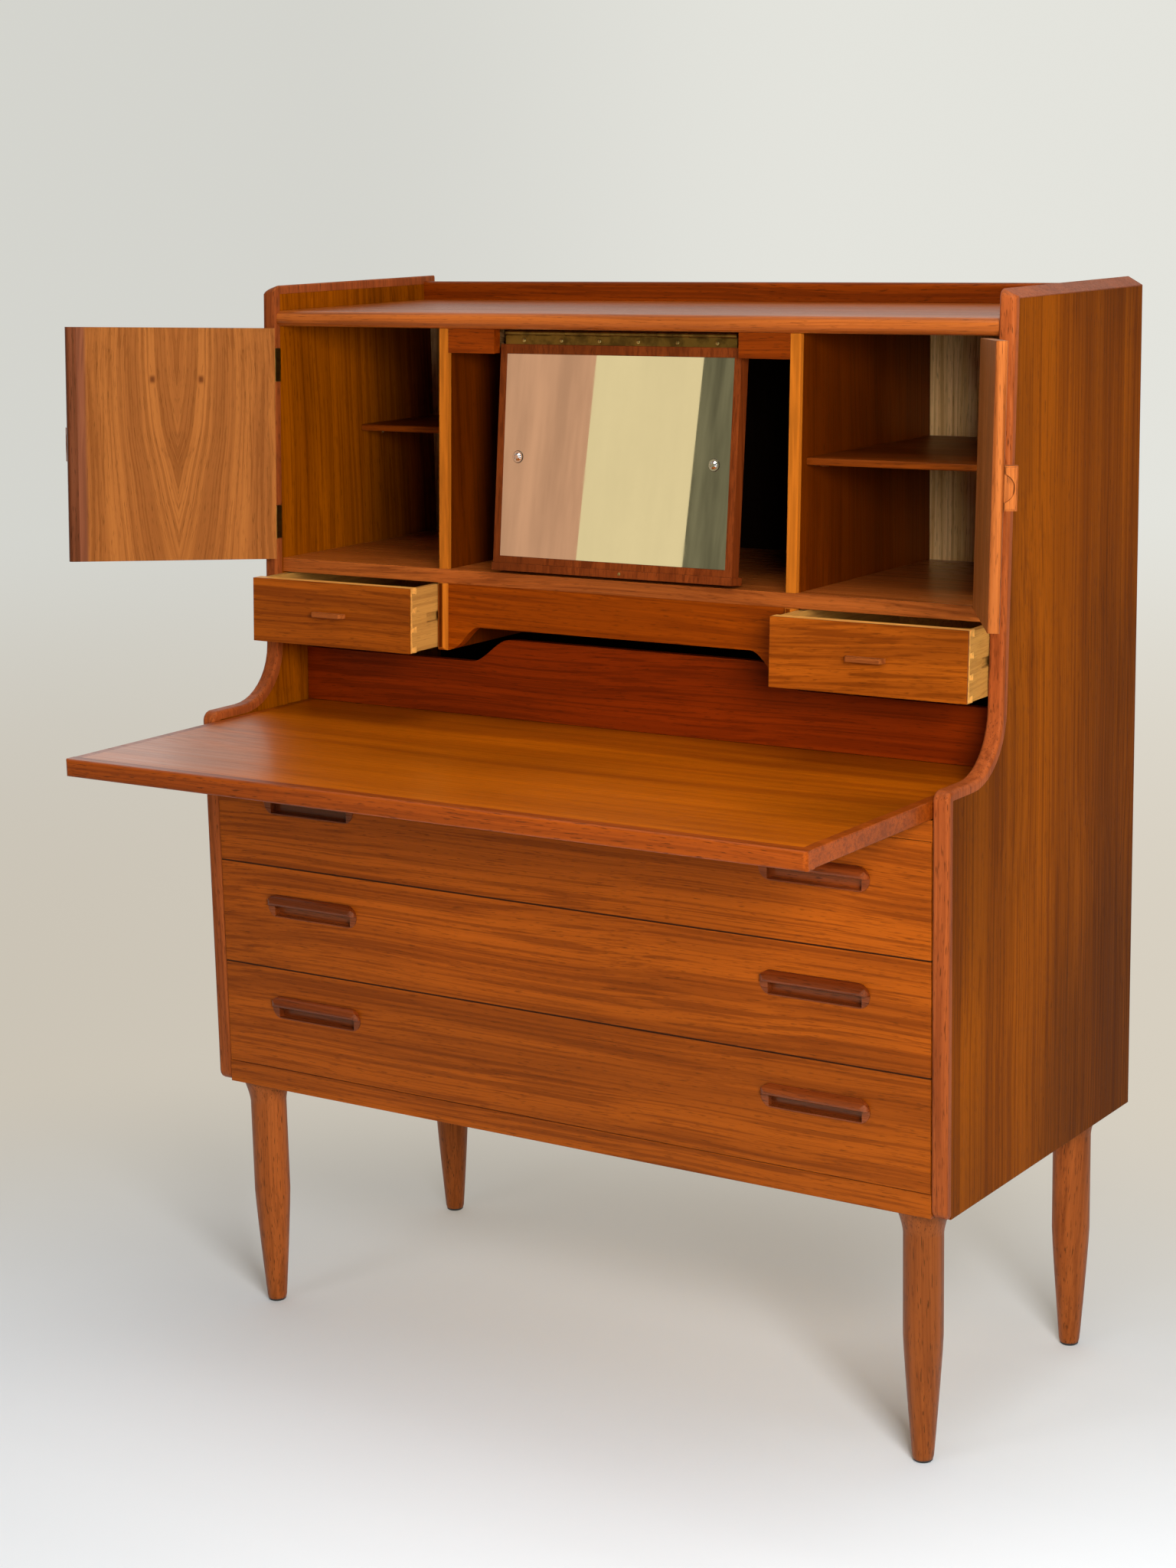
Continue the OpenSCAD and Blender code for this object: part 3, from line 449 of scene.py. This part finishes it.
# The left door shows its inner face in the photo, so its two pieces have looks of their own
LOCAL = {"door_left_panel": "teak_door_left", "door_left_lipping": "teak_lip_left"}
for sub in frame["record"]["subparts"]:
    node = sub["node"]
    piece = frame["nodes"][node]
    piece.data.materials.clear()
    piece.data.materials.append(materials[LOCAL.get(node, sub["material_slot"])])

# ---- Small pieces on the mirror ----


def make_mesh(name, points, faces, material, smooth=False):
    """A new mesh object."""
    mesh = bpy.data.meshes.new(name)
    mesh.from_pydata([tuple(p) for p in points], [], faces)
    mesh.update()
    for polygon in mesh.polygons:
        polygon.use_smooth = smooth
    obj = bpy.data.objects.new(name, mesh)
    bpy.context.collection.objects.link(obj)
    obj.data.materials.append(material)
    return obj


def loft(name, profile, place, axis, material, segments):
    """A turned piece: profile holds (radius, height) pairs, from the foot to the crown, on an axis."""
    axis = Vector(axis).normalized()
    side = axis.orthogonal().normalized()
    other = axis.cross(side)
    points, faces = [], []
    for radius, height in profile:
        for i in range(segments):
            turn = 2 * math.pi * i / segments
            points.append(Vector(place) + axis * height * MM
                          + (side * math.cos(turn) + other * math.sin(turn)) * radius * MM)
    for ring in range(len(profile) - 1):
        for i in range(segments):
            k = (i + 1) % segments
            low, high = ring * segments, (ring + 1) * segments
            faces.append((low + i, low + k, high + k, high + i))
    faces.append(tuple(reversed(range(segments))))
    faces.append(tuple((len(profile) - 1) * segments + i for i in range(segments)))
    return make_mesh(name, points, faces, material, smooth=True)


def crown(radius, height, steps=6):
    """The outline of a shallow dome, for loft."""
    arc = [math.pi / 2 * i / steps for i in range(steps)]
    return [(radius * math.cos(a), height * math.sin(a)) for a in arc] + [(radius * 0.06, height)]


def reach_of(node, direction):
    """How far a node reaches back and forth along a direction."""
    along = [v.co.dot(direction) for v in frame["nodes"][node].data.vertices]
    return min(along), max(along)


# The mirror hangs from its pivot: across, down and outward are its own directions
glass = frame["nodes"]["mirror_glass"].data
outward = max(glass.polygons, key=lambda polygon: polygon.area).normal.copy()
if outward.y > 0:
    outward.negate()
down = Vector((1, 0, 0)).cross(outward)
SCREWS, SCREW_PITCH, SCREW_INSET = 6, 52 * MM, 4.6 * MM
SCREW_HEAD, NAIL_HEAD = (2.5, 1.0), (2.0, 0.9)  # (radius, height) in millimetres
leaf_far = reach_of("mirror_hinge_leaf", down)[1]
flange = reach_of("mirror_board", outward)[1]
screws_at = down * (leaf_far - SCREW_INSET) + outward * flange
for i in range(SCREWS):
    place = screws_at + Vector((CENTRE_X + (i - (SCREWS - 1) / 2) * SCREW_PITCH, 0, 0))
    head = loft(f"hinge_screw_{i + 1}", crown(*SCREW_HEAD), place, outward, materials["screw_brass"], 24)
    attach(head, "mirror")

# A dark rim round each chrome cap; (radius, height) pairs in millimetres
RIM = [(7.3, 0.0), (7.2, 0.35), (6.8, 0.5), (5.6, 0.5)]
cap_face = reach_of("mirror_glass", outward)[1]
cap_lo, cap_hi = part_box("mirror_screws")
cap_near, cap_far = reach_of("mirror_screws", down)
cap_x = [cap_lo.x + (cap_far - cap_near) / 2, cap_hi.x - (cap_far - cap_near) / 2]
for which, x in zip(("left", "right"), cap_x):
    rim_at = down * (cap_near + cap_far) / 2 + outward * cap_face + Vector((x, 0, 0))
    rim = loft(f"cap_rim_{which}", RIM, rim_at, outward, materials["rim_dark"], 40)
    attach(rim, "mirror")

# A nail's head in the strip along the mirror's foot, a little off the middle
NAIL_ASIDE = 14 * MM
strip_near, strip_far = reach_of("mirror_strip", down)
strip_face = reach_of("mirror_strip", outward)[1]
nail_at = (down * (strip_near + strip_far) / 2 + outward * strip_face
           + Vector((CENTRE_X + NAIL_ASIDE, 0, 0)))
nail = loft("strip_nail", crown(*NAIL_HEAD), nail_at, outward, materials["screw_brass"], 24)
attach(nail, "mirror")

# ---- Camera ----

# Solved from the case's own edges in the photo
EYE = case_point(1812.2, -2599.4, 1373.7)
FOCAL_PX, PHOTO_HEIGHT, SENSOR = 3799.8, 2048, 36.0
YAW, PITCH, ROLL = math.radians(34.0), math.radians(-11.8), math.radians(-1.226)

forward = Vector((-math.sin(YAW) * math.cos(PITCH), math.cos(YAW) * math.cos(PITCH), math.sin(PITCH)))
right0 = forward.cross(Vector((0, 0, 1))).normalized()
up0 = right0.cross(forward)
right = right0 * math.cos(ROLL) + up0 * math.sin(ROLL)
up = up0 * math.cos(ROLL) - right0 * math.sin(ROLL)

camera_data = bpy.data.cameras.new("camera")
camera_data.sensor_width = SENSOR
camera_data.lens = FOCAL_PX / PHOTO_HEIGHT * SENSOR
camera = bpy.data.objects.new("camera", camera_data)
bpy.context.collection.objects.link(camera)
camera.matrix_world = Matrix((
    (right.x, up.x, -forward.x, EYE.x),
    (right.y, up.y, -forward.y, EYE.y),
    (right.z, up.z, -forward.z, EYE.z),
    (0, 0, 0, 1)))
bpy.context.scene.camera = camera

# ---- Stage ----

FLOOR_R, FLOOR_Z = 3.6, -0.0002
DOME_R, DOME_Z = 14.0, -0.001
NEAR_TONE, FAR_TONE = (0.67, 0.615, 0.52, 1), (0.75, 0.75, 0.70, 1)


def disc(name, radius, z, material, segments=96):
    """A flat round floor."""
    turns = [2 * math.pi * i / segments for i in range(segments)]
    points = [(radius * math.cos(turn), radius * math.sin(turn), z) for turn in turns]
    return make_mesh(name, points, [tuple(range(segments))], material)


def backdrop(g):
    """The surround's glow: warm near, cooler further off, and a little darker on one side as painted shade."""
    place = g.coords()
    far = g.add("ShaderNodeVectorMath", operation="LENGTH")
    g.link(place, far.inputs[0])
    tone = g.mix(g.span(far.outputs["Value"], 1.5, 9.0), NEAR_TONE, FAR_TONE)
    # Painted shade: the glow dims towards one side, as a wall does away from the light
    aside = g.span(g.along(place, (0, 0, 0), (0.83, 0.56, 0)), -1.6, 1.6, 0.88, 1.03)
    lamp = g.add("ShaderNodeEmission")
    g.link(g.mix(1.0, tone, aside, "MULTIPLY"), lamp.inputs["Color"])
    return lamp.outputs[0]


# The floor is paper near the desk and fades into the pale surround between these distances
PAPER_CENTRE, PAPER_END, PAPER_GONE = case_point(250, -850, 0), 1.0, 2.2
paper = Graph("paper")
ground = paper.coords()
cloud = paper.noise(ground, 0.9, 3.0, 0.5)
paper.set("Base Color", paper.mix(cloud, (0.70, 0.725, 0.74, 1), (0.74, 0.765, 0.78, 1)))
paper.set("Roughness", 0.85)
paper.set("Specular IOR Level", 0.15)
creases = paper.noise(paper.mapped(ground, (0.6, 5.0, 1.0), turn=(0, 0, 0.5)), 1.0, 2.0, 0.5)
paper.set("Normal", paper.bump(creases, 0.15, 0.02))
spread = paper.add("ShaderNodeVectorMath", operation="DISTANCE")
paper.link(ground, spread.inputs[0])
spread.inputs[1].default_value = tuple(PAPER_CENTRE)
blend = paper.add("ShaderNodeMixShader")
paper.link(paper.span(spread.outputs["Value"], PAPER_END, PAPER_GONE), blend.inputs["Fac"])
paper.link(paper.shader.outputs["BSDF"], blend.inputs[1])
paper.link(backdrop(paper), blend.inputs[2])
paper.link(blend.outputs[0], paper.output.inputs["Surface"])
floor = disc("floor", FLOOR_R, FLOOR_Z, paper.material)

# A plain dome that only the camera sees
shell = Graph("surround")
shell.link(backdrop(shell), shell.output.inputs["Surface"])
LEVELS, RING = 10, 64
dome_points, dome_faces = [], []
for level in range(LEVELS):
    lift = math.radians(90.0 * level / (LEVELS - 0.5))
    out, height = DOME_R * math.cos(lift), DOME_R * math.sin(lift) + DOME_Z
    for i in range(RING):
        turn = 2 * math.pi * i / RING
        dome_points.append((out * math.cos(turn), out * math.sin(turn), height))
for level in range(LEVELS - 1):
    low, high = level * RING, (level + 1) * RING
    for i in range(RING):
        k = (i + 1) % RING
        dome_faces.append((low + i, low + k, high + k, high + i))
dome_faces.append(tuple((LEVELS - 1) * RING + i for i in range(RING)))
dome = make_mesh("dome", dome_points, dome_faces, shell.material)
outer_floor = disc("outer_floor", DOME_R, DOME_Z, shell.material)
for far_piece in (dome, outer_floor):
    far_piece.visible_diffuse = False
    far_piece.visible_glossy = False
    far_piece.visible_transmission = False
    far_piece.visible_shadow = False

# ---- Light ----

# The room is brighter on one side: its direction, and the strength away from it and towards it
BRIGHT_SIDE, AWAY, TOWARDS = (-0.55, 0.78, 0.3), 0.03, 0.62
ROOM = 0.16  # the least strength that shiny surfaces reflect
KEY_WATTS, FILL_WATTS, TOP_WATTS = 84, 10, 44

world = bpy.data.worlds.new("studio")
bpy.context.scene.world = world
world.use_nodes = True
sky = world.node_tree
background = sky.nodes["Background"]
direction = sky.nodes.new("ShaderNodeTexCoord")
behind = sky.nodes.new("ShaderNodeVectorMath")
behind.operation = "DOT_PRODUCT"
sky.links.new(direction.outputs["Generated"], behind.inputs[0])
behind.inputs[1].default_value = BRIGHT_SIDE
strength = sky.nodes.new("ShaderNodeMapRange")
strength.interpolation_type = "SMOOTHSTEP"
sky.links.new(behind.outputs["Value"], strength.inputs["Value"])
strength.inputs["From Min"].default_value = -0.1
strength.inputs["From Max"].default_value = 0.9
strength.inputs["To Min"].default_value = AWAY
strength.inputs["To Max"].default_value = TOWARDS
# Shiny surfaces that face away from the bright side still find a dim room to reflect
ray = sky.nodes.new("ShaderNodeLightPath")
room = sky.nodes.new("ShaderNodeMath")
room.operation = "MULTIPLY"
sky.links.new(ray.outputs["Is Glossy Ray"], room.inputs[0])
room.inputs[1].default_value = ROOM
brighter = sky.nodes.new("ShaderNodeMath")
brighter.operation = "MAXIMUM"
sky.links.new(strength.outputs["Result"], brighter.inputs[0])
sky.links.new(room.outputs[0], brighter.inputs[1])
sky.links.new(brighter.outputs[0], background.inputs["Strength"])
background.inputs["Color"].default_value = (1.0, 0.98, 0.93, 1)


def area_light(name, place, target, size, power):
    """A square light at a place, turned to a target."""
    data = bpy.data.lights.new(name, "AREA")
    data.shape = "SQUARE"
    data.size = size
    data.energy = power
    obj = bpy.data.objects.new(name, data)
    bpy.context.collection.objects.link(obj)
    obj.location = place
    obj.rotation_mode = "QUATERNION"
    obj.rotation_quaternion = (Vector(target) - Vector(place)).to_track_quat("-Z", "Y")
    return obj


KEY_PLACE, KEY_TARGET, KEY_SIZE = case_point(1850, -1650, 1450), case_point(200, 100, 600), 0.9
key = area_light("key", KEY_PLACE, KEY_TARGET, KEY_SIZE, KEY_WATTS)
fill = area_light("fill", case_point(-900, -2600, 1700), case_point(0, 100, 600), 0.9, FILL_WATTS)
for light in (key, fill):
    light.visible_glossy = False
area_light("top", case_point(500, -500, 3400), case_point(0, 0, 0), 1.8, TOP_WATTS)


def card(name, place, target, width, height, colour, uneven=0.0):
    """A flat reflector that shows only in shiny surfaces; uneven streaks its tone."""
    g = Graph(name)
    streaks = g.noise(g.mapped(g.coords(), (14, 1.2, 1)), 1.5, 4.0, 0.6)
    drift = g.span(streaks, 0.3, 0.7, 1.0 - uneven, 1.0 + uneven)
    lamp = g.add("ShaderNodeEmission")
    g.link(g.mix(1.0, (*colour, 1), drift, "MULTIPLY"), lamp.inputs["Color"])
    g.link(lamp.outputs[0], g.output.inputs["Surface"])
    x, y = width / 2, height / 2
    obj = make_mesh(name, [(-x, -y, 0), (x, -y, 0), (x, y, 0), (-x, y, 0)], [(0, 1, 2, 3)], g.material)
    obj.location = place
    obj.rotation_mode = "QUATERNION"
    obj.rotation_quaternion = (Vector(target) - Vector(place)).to_track_quat("-Z", "Y")
    obj.visible_camera = False
    obj.visible_diffuse = False
    obj.visible_shadow = False


# The key light's sheen comes from a softer card of its own
card("card_key", KEY_PLACE, KEY_TARGET, KEY_SIZE, KEY_SIZE, (5.0, 4.9, 4.8))

# A pale reflector behind and to the left, whose sheen lies on the leaf and the top
card("card_window", case_point(-2250, 1150, 1150), case_point(-450, -150, 742), 1.0, 1.1, (1.3, 1.25, 1.2))

# Plain reflectors side by side where the photo's mirror looks: (name, start, stop, tone, uneven),
# start and stop in metres from the middle of the reflected view
STAND_OFF, CARD_HEIGHT = 1.3, 0.8
MIRROR_CARDS = (("board", -0.75, -0.043, (202, 152, 118), 0.16),
                ("paper", -0.043, 0.125, (229, 209, 160), 0.02),
                ("shade", 0.125, 0.5, (110, 104, 78), 0.4))
glass_lo, glass_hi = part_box("mirror_glass")
glass_mid = (glass_lo + glass_hi) / 2
sight = (glass_mid - EYE).normalized()
bounce = sight - 2 * sight.dot(outward) * outward
stand = glass_mid + bounce * STAND_OFF
aside = bounce.cross(UP).normalized()
if aside.x < 0:
    aside = -aside
for card_name, start, stop, tone, uneven in MIRROR_CARDS:
    middle = stand + aside * (start + stop) / 2
    card("card_" + card_name, middle, middle - bounce, stop - start, CARD_HEIGHT, srgb(*tone)[:3], uneven)

view = bpy.context.scene.view_settings
view.view_transform = "Standard"
view.look = "None"
